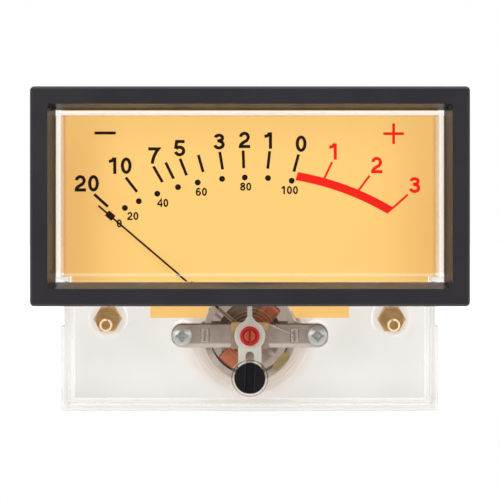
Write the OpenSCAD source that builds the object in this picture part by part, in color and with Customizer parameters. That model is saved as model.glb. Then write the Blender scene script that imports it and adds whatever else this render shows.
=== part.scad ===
// Analog panel level meter: backlit dial, moving-coil movement and zero adjuster.
// Millimetres. +Z is up, the front faces -Y, and the flat base of the case is z = 0.
// A name that ends in _d is a depth: the distance behind the bezel's front face.
// Front views are drawn as 2D outlines, x to the right and y up, and layer() gives them their depth.

/* [Bezel] */
// Width of the bezel
bezel_w = 97; // [95:0.5:100]
// Height of the bezel
bezel_h = 48.5; // [47.5:0.5:50]
// Thickness of the bezel, front to back
bezel_t = 6.2; // [6:0.1:6.8]
// Width of the flat front face of the bezel
bezel_face = 3.85; // [3.5:0.05:4]
// Radius of the bezel's outer corners
bezel_corner_r = 1; // [0.6:0.1:1.5]

/* [Clear front cover] */
// Width of the raised lens
lens_w = 86.4; // [85.6:0.2:87]
// Height of the raised lens
lens_h = 38.2; // [37.4:0.2:38.6]
// Depth of the lens behind the bezel's front
lens_d = 5; // [4.5:0.1:5.4]
// Thickness of the lens and of the lower front
lens_t = 1.4; // [1.2:0.1:1.6]
// Thickness of the lens's side walls
lens_wall = 1.1; // [0.9:0.1:1.3]
// Room for a panel between the bezel and the lower case
panel_gap = 3; // [2.5:0.1:3]

/* [Case] */
// Width of the case below the lens
case_w = 84.7; // [84:0.1:85.4]
// Height of the bezel's centre above the base
bezel_z = 48.25; // [48:0.05:49]
// Depth where the front cover meets the rear case
joint_d = 18.1; // [18:0.05:18.3]
// Depth of the rear case's flat back
back_d = 29; // [28.6:0.1:29.6]
// Wall of the rear case
case_wall = 1.5; // [1.3:0.1:1.6]
// Outer radius of the round housing behind the movement
well_r = 13.6; // [13.5:0.1:14]

/* [Movement] */
// Height of the pointer's axis above the base
pivot_z = 16.75; // [16.5:0.05:17]
// Length of the front bridge
bridge_l = 35.4; // [35:0.1:36]
// Height of the front bridge
bridge_h = 5.4; // [5.2:0.1:5.6]
// Distance of each bridge screw from the axis
screw_x = 15.3; // [15.2:0.05:15.6]
// Outer radius of the iron ring
ring_r = 10.6; // [10.4:0.1:10.7]
// Wall of the iron ring
ring_wall = 1.45; // [1.3:0.05:1.5]
// Radius of the core magnet
core_r = 7.15; // [6.8:0.05:7.2]
// Length of the core magnet
core_l = 8; // [7.6:0.1:8]
// Width of the moving coil, seen from the front
coil_w = 4; // [3.6:0.1:4.2]

/* [Pointer] */
// Length of the pointer from its axis to its tip
pointer_l = 45.2; // [42:0.1:46]
// Width of the pointer
needle_w = 0.42; // [0.34:0.02:0.5]
// Angle of the resting pointer above the axis, counted from the right
rest_angle = 139.5; // [138:0.5:141]
// Furthest angle to the left of rest
left_stop = 3; // [2:0.5:4]
// Furthest angle to the right of rest
right_stop = 101; // [98:1:102]
// Turns of each hairspring
spring_turns = 6.75; // [5.75:1:7.75]

/* [Zero adjuster] */
// Distance of the adjuster's axis below the pointer's
adjuster_drop = 9.25; // [9.15:0.05:9.4]
// Diameter of the slotted head
adjuster_head = 6.94; // [6.8:0.02:7]
// Distance of the eccentric pin from the adjuster's axis
pin_offset = 1.15; // [1:0.05:1.15]
// Outer radius of the zero lever's ring
lever_r = 3.5; // [3.4:0.05:3.7]

/* [Terminals] */
// Distance between the two studs
stud_spacing = 65; // [64:0.5:66]
// Height of the studs above the base
stud_z = 20.1; // [19.8:0.1:20.4]
// Thread diameter of the studs
stud_thread = 3; // [3:0.5:3.5]
// Width across flats of the studs' heads and nuts
stud_flats = 5.5; // [5.5:0.1:5.8]
// Depth of the studs' ends, the rearmost points
stud_end_d = 41; // [39:0.5:44]

/* [Lamp] */
// Height of the lamp board's centre above the base
lamp_z = 57; // [50:0.5:59]
// Length of the lamp board
board_l = 64; // [56:1:70]
// Number of lamps
lamps = 3; // [2:1:4]

/* [Hidden] */
$fn = 64;

// The depth axis: the whole meter is centred front to back
mid_d = stud_end_d / 2;
cut = 1;             // how far a cutting shape runs past the face that it opens
gap = 0.05;          // running clearance of a shaft in its hole, and of parts laid together
seam = 0.03;         // between the cover's rim and the case's

// Bezel
bezel_chamfer = 0.5;
opening_w = bezel_w - 2 * bezel_face;
opening_h = bezel_h - 2 * bezel_face;
channel_d = 2.8;     // depth where the moulded channel in the bezel's back begins
channel_wall = 1.5;
rib_pitch = 12;
rib_t = 1;

// Front cover
inner_d = bezel_t + panel_gap;              // front face of the lower cover, behind the panel
cover_floor_d = inner_d + lens_t;           // its inner face
lens_bottom = bezel_z - lens_h / 2;
lens_bar = 1.4;      // thickness of the lens's bottom wall
lens_chamfer = 0.15;
lower_wall = 1.6;
bottom_wall = 1.35;
pocket_w = 21.8;     // pocket in the cover's bottom for the rear case's tongue
pocket_t = 0.4;
notch_z = 19;        // lower end of the notches in the cover's sides
notch_t = 0.85;
dial_step = 0.4;     // step in the lens's side walls that holds the dial's edge
pip_x = 32.35;       // moulded rings inside the lower front
pip_z = 19.25;
pip_r = 1.5;
pip_in_r = 1;
pip_l = 0.6;
mark_x = 28;         // moulding marks on the lower front
mark_z = 4.4;
mark_r = 0.6;

// Zero adjuster
adjuster_z = pivot_z - adjuster_drop;
head_r = adjuster_head / 2;
boss_r = 4.13;
boss_chamfer = 0.2;
boss_d = inner_d - 1;
seat_d = inner_d + 0.3;
head_front_d = boss_d - 0.15;
stem_r = 2;
inner_boss_r = 3;
inner_boss_d = cover_floor_d + 1;
clip_t = 0.4;
clip_d = inner_boss_d + gap;
stem_end_d = clip_d + clip_t + 0.35;
slot_w = 1.9;
slot_t = 0.8;
slot_edge = 0.15;    // chamfer along the slot's edges
pin_r = 0.8;
fork_slack = 0.15;   // room round the pin in the lever's fork
pin_reach = 0.3;     // how far the pin stands behind the lever

// Depths of the movement, from the front to the back
lever_t = 0.46;
lever_d = 12.92;
tag_d = 13.4;
tag_t = 0.1;
plate_d = tag_d + tag_t;
bridge_d = 13.9;
bridge_t = 1.2;
bridge_back_d = bridge_d + bridge_t;
screw_tip_d = 15.4;                         // rear end of the front jewel screw
spring_d = 15.5;
needle_d = 15.95;
needle_t = 0.3;
cross_d = needle_d + needle_t;
cross_t = 0.25;
coil_d = 16.85;                             // front face of the coil
base_d = cross_d + cross_t;
dial_d = 17;
film_t = 0.2;
ring_d = 17.5;
ring_l = 9.6;
centre_d = ring_d + ring_l / 2;             // the coil is the same on both sides of this depth
rear_bridge_d = 2 * centre_d - bridge_back_d;
rear_bridge_t = 1;
rear_plate_d = rear_bridge_d + rear_bridge_t;
anchor_d = rear_plate_d + 0.3;
anchor_t = 0.3;
rear_nut_d = anchor_d + anchor_t;
rear_screw_end_d = rear_nut_d + 1.2;
well_floor_d = rear_screw_end_d + 0.6;
well_back_d = well_floor_d + 1.3;

// Movement
ring_in_r = ring_r - ring_wall;
lug_x = 9.3;         // the ring's side bars: their ends are staked in the two bridges
lug_w = 1.6;
lug_h = 3;
stake_rise = 0.15;
wire_build = 0.8;    // thickness of the copper winding
former_t = 0.25;
coil_half = ring_in_r - 0.6;
former_half = coil_half - wire_build;
post_r = 2.9;        // posts in the rear case that the bridge screws enter
screw_r = 0.95;
screw_hole_r = 1.1;
screw_head_r = 2.2;
screw_dome_r = 4.6;  // the pan heads are cut from this sphere
screw_head_t = 1.35;
screw_reach = 7.2;   // behind the bridge
recess_w = 0.6;
recess_l = 2.7;
recess_t = 0.8;
jewel_screw_r = 1.25;
clear_r = jewel_screw_r + 0.02;             // holes that the jewel screws pass through
lever_bore_r = 1.75;
tab_w = 1.1;         // the lever's stem and both hairsprings' anchor tabs
bush_r = lever_bore_r - gap;
nut_r = 2.2;
nut_t = 0.8;
nut_sink = 0.4;      // countersink of the front lock nut
jewel_r = 0.6;
jewel_t = 0.8;
cup_r = 0.45;
cup_t = 0.5;
pivot_r = 0.3;
hub_r = 1.8;
collet_r = 0.8;
collet_t = 0.3;

// Hairsprings
spring_t = 0.09;
spring_w = 0.25;
spring_in_r = collet_r + 0.08;
spring_out_r = 6.25;
spring_steps = 24;   // straight steps in each turn
tab_in_r = spring_out_r + 0.12;
tab_t = 0.5;

// Pointer: the weight's thickness balances the needle about the axis
needle_start = 3.5;
arm_w = 0.9;
weight_arm = 9.3;
weight_l = 4.66;
weight_w = 1.76;
weight_corner_r = 0.68;
alu_density = 2.7;
brass_density = 8.5;
needle_moment = alu_density * needle_w * needle_t * (pow(pointer_l, 2) - pow(needle_start, 2)) / 2;
fold_moment = weight_l * cross_t / 2 * (weight_arm + weight_w / 2);
weight_area = weight_l * weight_w - (4 - PI) * pow(weight_corner_r, 2);
weight_t = needle_moment / brass_density / (weight_area * weight_arm + fold_moment);
arm_l = weight_arm + weight_w / 2 - weight_t / 2 - 0.02;

// Dial
dial_side_gap = 0.1;
dial_w = lens_w - 2 * lens_wall + 2 * dial_step - 2 * dial_side_gap;
dial_h = lens_h - 2 * lens_wall + 2 * dial_step - 2 * dial_side_gap;
dial_lower_w = 80.8;
dial_bottom = 25.2;
skirt_w = 45.2;
skirt_bottom = 20.6;
dial_notch_r = ring_r + 0.4;

// Rear case
floor_z = 25;        // underside of the light box
floor_t = 1.3;
rear_inner_d = back_d - case_wall;
well_in_r = well_r - 1.4;
well_rim_d = joint_d + 0.2;
lip_t = 0.8;
lip_l = 1.5;
lip_top = 24;
boss_stud_r = 4.4;
stud_boss_d = 22.7;
head_d = 20;         // front of the studs' hexagonal heads
head_l = 3.5;
head_chamfer = 0.35;
lead_notch_w = 1.4;
lead_angle = 30;     // where each lead leaves the round housing, above the axis
lead_r = 0.4;

// Terminals
stud_r = stud_thread / 2;
neck_r = stud_r - 0.25;                     // the thread's core, also the nuts' bore
washer_r = 3;
washer_t = 0.5;
lug_t = 0.4;
nut_l = 2.4;
washer_d = back_d;
lug_d = washer_d + washer_t;
nut_d = lug_d + lug_t;
thread_d = nut_d + nut_l + 0.4;             // the free thread begins behind the nut
tongue_w = 2.4;
tongue_l = 9;

// Lamps
board_h = 8;
board_t = 1;
board_d = rear_inner_d - 0.3 - board_t;
dome_r = 1.45;
dome_base = 0.9;
lamp_pitch = (board_l - 16) / (lamps - 1);
peg_x = board_l / 2 - 3;
peg_r = 1;
lamp_pin_x = 5;
lamp_pin_r = 0.6;
lamp_pin_end_d = 36;

// ---- Helpers ----

// Gives a front-view outline its depth
module layer(d0, d1)
    translate([0, d1 - mid_d, 0]) rotate([90, 0, 0]) linear_extrude(d1 - d0) children();

// A cone or a round bar along the depth, on the line x = 0, z = 0
module taper(d0, d1, r0, r1)
    translate([0, d0 - mid_d, 0]) rotate([-90, 0, 0]) cylinder(h = d1 - d0, r1 = r0, r2 = r1);

// A front-view rectangle between two heights, centred on x = 0
module band(w, z0, z1) translate([-w / 2, z0]) square([w, z1 - z0]);

// A centred rectangle with round corners
module rounded(w, h, r) {
    square([w, h - 2 * r], center = true);
    square([w - 2 * r, h], center = true);
    for (x = [-1, 1], y = [-1, 1]) translate([x * (w / 2 - r), y * (h / 2 - r)]) circle(r);
}

module ring_2d(r_out, r_in) difference() { circle(r_out); circle(r_in); }

// A hexagon with corners left and right
module hexagon(flats) circle(flats / 2 / cos(30), $fn = 6);

// A block that has its own width and height at each of a list of depths
module block_by_depth(depths, widths, heights) {
    last = len(depths) - 1;
    y = [for (d = depths) d - mid_d];
    intersection() {
        linear_extrude(2 * max(heights), center = true)
            polygon(concat([for (i = [0 : last]) [widths[i] / 2, y[i]]],
                [for (i = [last : -1 : 0]) [-widths[i] / 2, y[i]]]));
        rotate([90, 0, 90]) linear_extrude(2 * max(widths), center = true)
            polygon(concat([for (i = [0 : last]) [y[i], heights[i] / 2]],
                [for (i = [last : -1 : 0]) [y[i], -heights[i] / 2]]));
    }
}

module at_pivot() translate([0, 0, pivot_z]) children();
module at_adjuster() translate([0, 0, adjuster_z]) children();

// Turns a piece about the pointer's axis, so that its own x points along the angle
module along(angle) at_pivot() rotate([0, -angle, 0]) children();

module left_and_right(x, z) for (side = [-1, 1]) translate([side * x, 0, z]) children();

// Repeats a piece at the coil's rear end
module both_ends() {
    children();
    translate([0, 2 * (centre_d - mid_d), 0]) mirror([0, 1, 0]) children();
}

// A wire: a tube swept along a smooth curve through a list of points [x, depth, z]
function curve_point(p, i, t) =
    let (a = p[max(i - 1, 0)], b = p[i], c = p[i + 1], e = p[min(i + 2, len(p) - 1)])
    0.5 * (2 * b + (c - a) * t + (2 * a - 5 * b + 4 * c - e) * t * t
        + (3 * b - a - 3 * c + e) * t * t * t);
function smooth_route(p, n) =
    concat([for (i = [0 : len(p) - 2], k = [0 : n - 1]) curve_point(p, i, k / n)], [p[len(p) - 1]]);
function unit(v) = v / norm(v);
module wire(points, r, n = 5, sides = 8) {
    route = smooth_route([for (p = points) [p[0], p[1] - mid_d, p[2]]], n);
    last = len(route) - 1;
    rings = [for (i = [0 : last])
        let (dir = unit(route[min(i + 1, last)] - route[max(i - 1, 0)]),
            u = unit(cross(dir, abs(dir[0]) < 0.8 ? [1, 0, 0] : [0, 0, 1])), v = cross(dir, u))
        for (k = [0 : sides - 1])
            route[i] + r * (cos(360 * k / sides) * u + sin(360 * k / sides) * v)];
    sides_of = [for (i = [0 : last - 1], k = [0 : sides - 1])
        let (a = i * sides + k, b = i * sides + (k + 1) % sides)
        [a, a + sides, b + sides, b]];
    polyhedron(rings, concat(sides_of, [[for (k = [0 : sides - 1]) k]],
        [[for (k = [sides - 1 : -1 : 0]) last * sides + k]]));
}

// ---- Bezel, cover and case ----

module bezel_outline() rounded(bezel_w, bezel_h, bezel_corner_r);

module bezel_opening() {
    draft = (opening_w - lens_w - 2 * gap) / lens_d;
    draft_h = (opening_h - lens_h - 2 * gap) / lens_d;
    block_by_depth([-cut, lens_d, bezel_t + cut],
        [opening_w + cut * draft, lens_w + 2 * gap, lens_w + 2 * gap],
        [opening_h + cut * draft_h, lens_h + 2 * gap, lens_h + 2 * gap]);
}

module bezel_channel() layer(channel_d, bezel_t + cut) difference() {
    square([bezel_w - 2 * channel_wall, bezel_h - 2 * channel_wall], center = true);
    square([lens_w + 2 * channel_wall, lens_h + 2 * channel_wall], center = true);
    for (x = [-3.5 : 3.5]) translate([x * rib_pitch, 0]) square([rib_t, bezel_h], center = true);
    for (z = [-1 : 1]) translate([0, z * rib_pitch]) square([bezel_w, rib_t], center = true);
}

module bezel_frame() {
    color("#33343a")
    translate([0, 0, bezel_z])
    difference() {
        intersection() {
            layer(0, bezel_t) bezel_outline();
            block_by_depth([0, bezel_chamfer, bezel_t],
                [bezel_w - 2 * bezel_chamfer, bezel_w, bezel_w],
                [bezel_h - 2 * bezel_chamfer, bezel_h, bezel_h]);
        }
        bezel_opening();
        bezel_channel();
    }
}

module cover_outside() {
    translate([0, 0, bezel_z])
        block_by_depth([lens_d, lens_d + lens_chamfer, joint_d],
            [lens_w - 2 * lens_chamfer, lens_w, lens_w],
            [lens_h - 2 * lens_chamfer, lens_h, lens_h]);
    layer(inner_d, joint_d) band(case_w, 0, lens_bottom + lens_wall);
    at_adjuster() {
        taper(boss_d, boss_d + boss_chamfer, boss_r - boss_chamfer, boss_r);
        layer(boss_d + boss_chamfer, inner_d + 0.1) circle(boss_r);
        layer(cover_floor_d - 0.1, inner_boss_d) circle(inner_boss_r);
    }
}

module cover_inside() {
    difference() {
        translate([0, 0, bezel_z]) {
            layer(lens_d + lens_t, joint_d + cut)
                square([lens_w - 2 * lens_wall, lens_h - 2 * lens_wall], center = true);
            layer(dial_d, joint_d + cut)
                square([lens_w - 2 * lens_wall + 2 * dial_step,
                    lens_h - 2 * lens_wall + 2 * dial_step], center = true);
        }
        layer(lens_d, cover_floor_d) band(lens_w, 0, lens_bottom + lens_bar);
    }
    difference() {
        layer(cover_floor_d, joint_d + cut)
            band(case_w - 2 * lower_wall, bottom_wall, lens_bottom + lens_wall + 0.1);
        at_adjuster() layer(cover_floor_d - 0.2, inner_boss_d) circle(inner_boss_r);
    }
    layer(cover_floor_d + 1, joint_d + cut) band(pocket_w, bottom_wall - pocket_t, bottom_wall + 0.1);
}

// A moulded ring whose inner side is dished
module pip() difference() {
    layer(cover_floor_d - 0.1, cover_floor_d + pip_l) circle(pip_r);
    layer(cover_floor_d, cover_floor_d + pip_l + cut) circle(pip_in_r);
    taper(cover_floor_d + pip_l - 0.3, cover_floor_d + pip_l + 0.05, pip_in_r, pip_in_r + 0.52);
}

module front_cover() {
    color("#efece6", 0.35)
    difference() {
        union() {
            difference() {
                cover_outside();
                cover_inside();
            }
            left_and_right(pip_x, pip_z) pip();
        }
        at_adjuster() {
            layer(boss_d - cut, seat_d) circle(head_r + 0.08);
            layer(seat_d - 0.1, inner_boss_d + cut) circle(stem_r + gap);
        }
        left_and_right(case_w / 2, 0)
            layer(cover_floor_d + 0.5, joint_d + cut) band(2 * notch_t, notch_z, lens_bottom);
        left_and_right(mark_x, mark_z) layer(inner_d - cut, inner_d + 0.15) circle(mark_r);
    }
}

// The lip that centres the rear case in the cover, and the tongue in the cover's pocket
module case_lip() {
    lip_w = case_w - 2 * lower_wall - 2 * gap;
    lip_z = bottom_wall + gap;
    layer(joint_d - lip_l, joint_d + 0.1) difference() {
        band(lip_w, lip_z, lip_top);
        band(lip_w - 2 * lip_t, lip_z + lip_t, lip_top + cut);
    }
    layer(joint_d + seam, joint_d + lip_l) difference() {
        band(lip_w + 0.6, lip_z - 0.2, lip_top);
        band(lip_w - 2 * lip_t, lip_z + lip_t, lip_top + cut);
    }
    layer(joint_d - lip_l, joint_d + 0.1) band(pocket_w - 0.2, lip_z - pocket_t, lip_z + lip_t);
}

module case_walls() difference() {
    layer(joint_d + seam, back_d) {
        translate([0, bezel_z]) square([lens_w, lens_h], center = true);
        band(case_w, 0, lens_bottom + 1);
    }
    layer(joint_d - cut, rear_inner_d) {
        translate([0, bezel_z]) square([lens_w - 2 * case_wall, lens_h - 2 * case_wall], center = true);
        band(case_w - 2 * case_wall, case_wall, lens_bottom + case_wall + 0.1);
    }
}

module case_holes() {
    at_pivot() layer(well_rim_d - cut, well_floor_d) circle(well_in_r);
    left_and_right(screw_x, pivot_z) layer(bridge_back_d - cut, bridge_back_d + screw_reach + 0.8) circle(screw_r + gap);
    left_and_right(stud_spacing / 2, stud_z) {
        layer(stud_boss_d - cut, head_d + head_l) hexagon(stud_flats + 0.1);
        layer(head_d, back_d + cut) circle(stud_r + gap);
    }
    left_and_right(lamp_pin_x, lamp_z) layer(rear_inner_d - cut, back_d + cut) circle(lamp_pin_r + gap);
    for (angle = [lead_angle, 180 - lead_angle]) along(angle)
        layer(well_rim_d - cut, well_rim_d + 2.4)
            translate([well_r - 0.7, 0]) square([4, lead_notch_w], center = true);
}

module rear_case() {
    color("#eceae6")
    union() {
        difference() {
            union() {
                case_walls();
                case_lip();
                layer(joint_d + 0.05, back_d - 0.5) band(case_w - 1, floor_z, floor_z + floor_t);
                at_pivot() layer(well_rim_d, well_back_d) circle(well_r);
                left_and_right(screw_x, pivot_z) layer(bridge_back_d, back_d - 0.5) circle(post_r);
                left_and_right(stud_spacing / 2, stud_z)
                    layer(stud_boss_d, back_d - 0.5) circle(boss_stud_r);
            }
            case_holes();
        }
        left_and_right(peg_x, lamp_z) {
            layer(board_d - 0.4, back_d - 0.5) circle(peg_r);
            layer(board_d + board_t, back_d - 0.5) circle(peg_r + 1);
        }
    }
}

// ---- Dial and lamps ----

module dial_outline() difference() {
    union() {
        band(dial_w, lens_bottom + 0.9, bezel_z + dial_h / 2);
        band(dial_lower_w, dial_bottom, lens_bottom + 2);
        band(skirt_w, skirt_bottom, dial_bottom + 1);
    }
    translate([0, pivot_z]) circle(dial_notch_r);
}

module dial_film() color("#fdd07a") layer(dial_d + 0.01, dial_d + film_t) dial_outline();

module dial_backing() color("#fff3d6") layer(dial_d + film_t, joint_d) dial_outline();

module lamp_board() {
    color("#f4f4f0")
    layer(board_d, board_d + board_t) translate([0, lamp_z]) difference() {
        rounded(board_l, board_h, 0.8);
        for (x = [-peg_x, peg_x]) translate([x, 0]) circle(peg_r + gap);
        for (x = [-lamp_pin_x, lamp_pin_x]) translate([x, 0]) circle(lamp_pin_r + gap);
    }
}

module lamp_domes() {
    color("#fff6d8")
    for (i = [0 : lamps - 1]) translate([(i - (lamps - 1) / 2) * lamp_pitch, 0, lamp_z + 2]) {
        layer(board_d - dome_base, board_d) circle(dome_r);
        intersection() {
            translate([0, board_d - dome_base - mid_d, 0]) sphere(dome_r);
            layer(board_d - dome_base - 2 * dome_r, board_d - dome_base + 0.01) circle(2 * dome_r);
        }
    }
}

module lamp_resistors() {
    color("#2a2a2c")
    for (i = [0 : lamps - 1]) translate([(i - (lamps - 1) / 2) * lamp_pitch + 4, 0, lamp_z - 2])
        layer(board_d - 0.5, board_d) square([2, 1.2], center = true);
}

module lamp_pins() {
    color("#d9b45a")
    left_and_right(lamp_pin_x, lamp_z) {
        layer(board_d - 0.6, lamp_pin_end_d - 0.4) circle(lamp_pin_r);
        layer(board_d + board_t, rear_inner_d) circle(lamp_pin_r + 0.5);
        taper(lamp_pin_end_d - 0.4, lamp_pin_end_d, lamp_pin_r, lamp_pin_r - 0.3);
    }
}

// ---- Fixed parts of the movement ----

module lug_slots() for (side = [-1, 1])
    translate([side * (lug_x + lug_w / 2), 0]) square([lug_w + 0.24, lug_h + 0.04], center = true);

module front_bridge() {
    color("#a39a97")
    at_pivot() layer(bridge_d, bridge_back_d) difference() {
        rounded(bridge_l, bridge_h, bridge_h / 2 - 0.3);
        lug_slots();
        circle(clear_r);
        for (x = [-screw_x, screw_x]) translate([x, 0]) circle(screw_hole_r);
    }
}

module bridge_screws() {
    color("#c9cccd")
    left_and_right(screw_x, pivot_z) {
        difference() {
            intersection() {
                layer(bridge_d - screw_head_t, bridge_d) circle(screw_head_r);
                translate([0, bridge_d - screw_head_t + screw_dome_r - mid_d, 0]) sphere(screw_dome_r);
            }
            layer(bridge_d - screw_head_t - cut, bridge_d - screw_head_t + recess_t) {
                square([recess_l, recess_w], center = true);
                square([recess_w, recess_l], center = true);
            }
            taper(bridge_d - screw_head_t, bridge_d - screw_head_t + recess_t + 0.2, 1, 0.4);
        }
        layer(bridge_d, bridge_back_d + screw_reach) circle(screw_r);
    }
}

module iron_ring() {
    color("#9b9499")
    at_pivot() {
        difference() {
            union() {
                layer(ring_d, ring_d + ring_l) circle(ring_r);
                layer(bridge_d - stake_rise, rear_plate_d + stake_rise)
                    for (side = [-1, 1]) translate([side * (lug_x + lug_w / 2), 0])
                        square([lug_w, lug_h], center = true);
            }
            layer(ring_d - cut, ring_d + ring_l + cut) circle(ring_in_r);
            stake_marks();
        }
    }
}

// The dents of the staking tool in the ends of the side bars
module stake_marks() for (side = [-1, 1]) translate([side * (lug_x + lug_w / 2), 0, 0]) {
    layer(bridge_d - cut, bridge_d + 0.5) square([0.45, 2.5], center = true);
    for (z = [-0.6, 0.6]) translate([0, 0, z])
        layer(bridge_d - cut, bridge_d + 0.3) square([1.05, 0.35], center = true);
}

module core_magnet() {
    color("#4c4b4d")
    at_pivot() layer(centre_d - core_l / 2, centre_d + core_l / 2) circle(core_r);
}

// The blocks that hold the magnet, which are also the coil's end stops
module core_supports() {
    half = 90 - (left_stop + right_stop) / 2 - 16.5;
    middle = rest_angle + (left_stop - right_stop) / 2;
    color("#c7a25c")
    for (turn = [0, 180]) along(middle + turn)
        layer(centre_d - core_l / 2 + 1, centre_d + core_l / 2 - 1) intersection() {
            ring_2d(ring_in_r, core_r);
            polygon([[0, 0], [2 * ring_r, -2 * ring_r * tan(half)], [2 * ring_r, 2 * ring_r * tan(half)]]);
        }
}

module rear_bridge() {
    color("#a39a97")
    at_pivot() layer(rear_bridge_d, rear_plate_d) difference() {
        rounded(23.4, 4.8, 1.5);
        lug_slots();
        circle(clear_r);
    }
}

module insulating_plate() {
    color("#d3a869")
    at_pivot() layer(plate_d, bridge_d) difference() {
        rounded(8.5, 6, 0.4);
        circle(lever_bore_r);
    }
}

module contact_tag() {
    color("#cdb98a")
    at_pivot() layer(tag_d, plate_d) difference() {
        union() {
            circle(lever_r - 0.3);
            polygon([[1.2, 2.6], [2.9, 0.9], [4.1, 1.9], [4.1, 2.9], [3.1, 2.9]]);
        }
        circle(lever_bore_r);
    }
}

module insulating_bush() {
    color("#d3a869")
    at_pivot() layer(lever_d - 0.3, bridge_d) ring_2d(bush_r, clear_r);
}

module spring_washer() {
    color("#b9bcbe")
    at_pivot() layer(lever_d - 0.3, lever_d - 0.02) ring_2d(nut_r - 0.1, lever_bore_r);
}

module lock_nut(d0) layer(d0, d0 + nut_t) difference() {
    circle(nut_r);
    circle(clear_r);
    for (x = [-1, 1]) translate([x * nut_r, 0]) square([0.7, 0.5], center = true);
}

module front_lock_nut() {
    nut_d0 = lever_d - 0.3 - nut_t;
    color("#d8231c")
    at_pivot() difference() {
        layer(nut_d0, nut_d0 + nut_t) ring_2d(nut_r, clear_r);
        taper(nut_d0 - 0.1, nut_d0 + nut_sink, clear_r + nut_sink + 0.1, clear_r);
    }
}

// A jewel screw: slot at its outer end, seat for the jewel at its inner end
module jewel_screw(d0, d1) difference() {
    union() {
        taper(d0, d0 + 0.15, jewel_screw_r - 0.15, jewel_screw_r);
        layer(d0 + 0.15, d1) circle(jewel_screw_r);
    }
    layer(d0 - cut, d0 + 0.8) square([0.55, 4], center = true);
    layer(d1 - jewel_t, d1 + cut) circle(jewel_r);
}

module front_jewel_screw() color("#c4413a") at_pivot() jewel_screw(lever_d - 1.4, screw_tip_d);

module jewels() {
    color("#c8425a")
    at_pivot() both_ends() difference() {
        layer(screw_tip_d - jewel_t, screw_tip_d) circle(jewel_r - 0.01);
        taper(screw_tip_d - cup_t, screw_tip_d + cup_t, 0, 2 * cup_r);
    }
}

// Tinned wire from the contact tag to the right-hand stake
module front_jumper() {
    color("#d8d6d0")
    wire([[3.7, tag_d - 0.14, pivot_z + 2.6], [4.6, tag_d - 0.3, pivot_z + 2.5],
        [7.2, bridge_d - 0.3, pivot_z + 1.3], [9.2, bridge_d - 0.26, pivot_z + 0.5],
        [10, bridge_d - stake_rise - 0.13, pivot_z + 0.2]], 0.12, 4, 6);
}

module rear_insulator() {
    color("#d3a869")
    at_pivot() layer(rear_plate_d, anchor_d) ring_2d(post_r, clear_r);
}

// The fixed anchor of the rear hairspring
module rear_anchor() {
    color("#cbc8c2")
    at_pivot() {
        layer(anchor_d, rear_nut_d) difference() {
            union() {
                circle(2.6);
                band(tab_w, 0, tab_in_r + tab_t);
            }
            circle(clear_r);
        }
        layer(2 * centre_d - spring_d - spring_w, rear_nut_d) band(tab_w, tab_in_r, tab_in_r + tab_t);
    }
}

module rear_lock_nut() color("#c9a860") at_pivot() lock_nut(rear_nut_d);

module rear_jewel_screw() {
    color("#c9a860")
    at_pivot() translate([0, 2 * (centre_d - mid_d), 0]) mirror([0, 1, 0])
        jewel_screw(2 * centre_d - rear_screw_end_d, screw_tip_d);
}

// ---- Hairsprings ----

function spring_radius(turn) =
    spring_in_r + (spring_out_r - spring_in_r) * turn / spring_turns;

// A flat spiral ribbon whose outer end is at the top
module hairspring_2d() {
    steps = spring_turns * spring_steps;
    start = 90 - 360 * spring_turns;
    function edge(i, side) = let (turn = i / spring_steps, a = start + 360 * turn)
        (spring_radius(turn) + side * spring_t / 2) * [cos(a), sin(a)];
    polygon(concat([for (i = [0 : steps]) edge(i, 1)], [for (i = [steps : -1 : 0]) edge(i, -1)]));
}

echo(least_gap_between_turns = min([for (i = [0 : (spring_turns - 1) * spring_steps])
    let (turn = i / spring_steps) spring_radius(turn + 1) - spring_radius(turn)]) - spring_t);

module front_hairspring()
    color("#b98a4a") at_pivot() layer(spring_d, spring_d + spring_w) hairspring_2d();

module rear_hairspring() {
    rear_spring_d = 2 * centre_d - spring_d - spring_w;
    color("#b98a4a")
    at_pivot() layer(rear_spring_d, rear_spring_d + spring_w) mirror([1, 0]) hairspring_2d();
}

// ---- Moving coil and pointer ----

// A closed frame round the magnet, as wide as the coil; its own x crosses the pointer
module coil_frame(half, d_in, r, w) along(rest_angle - 90)
    translate([0, centre_d - mid_d, -w / 2]) linear_extrude(w)
        rounded(2 * half, 2 * (centre_d - d_in), r);

module coil_former() {
    color("#c7c9cb")
    difference() {
        coil_frame(former_half, coil_d + wire_build, 0.5, coil_w);
        coil_frame(former_half - former_t, coil_d + wire_build + former_t, 0.25, coil_w + cut);
    }
}

module coil_winding() {
    color("#b5562f")
    difference() {
        coil_frame(coil_half, coil_d, wire_build, coil_w - 0.2);
        coil_frame(former_half, coil_d + wire_build, 0.5, coil_w + cut);
    }
}

module pivot_bases() {
    color("#c9a860")
    at_pivot() both_ends() layer(base_d, coil_d) ring_2d(hub_r, pivot_r);
}

module pivots() {
    tip_d = screw_tip_d - cup_t + gap;
    color("#8d9094")
    at_pivot() both_ends() {
        taper(tip_d, tip_d + 0.4, 0, pivot_r);
        layer(tip_d + 0.4, coil_d) circle(pivot_r);
    }
}

module spring_collets() {
    color("#c9a860")
    at_pivot() both_ends() layer(spring_d, spring_d + collet_t) ring_2d(collet_r, pivot_r);
}

module pointer_cross() {
    color("#3a3836")
    along(rest_angle) layer(cross_d, cross_d + cross_t) difference() {
        union() {
            circle(hub_r - 0.1);
            square([2 * arm_l, arm_w], center = true);
        }
        circle(pivot_r + 0.01);
    }
}

module pointer_needle() {
    color("#26221f")
    along(rest_angle) layer(needle_d, cross_d)
        translate([needle_start, -needle_w / 2]) square([pointer_l - needle_start, needle_w]);
}

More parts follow.
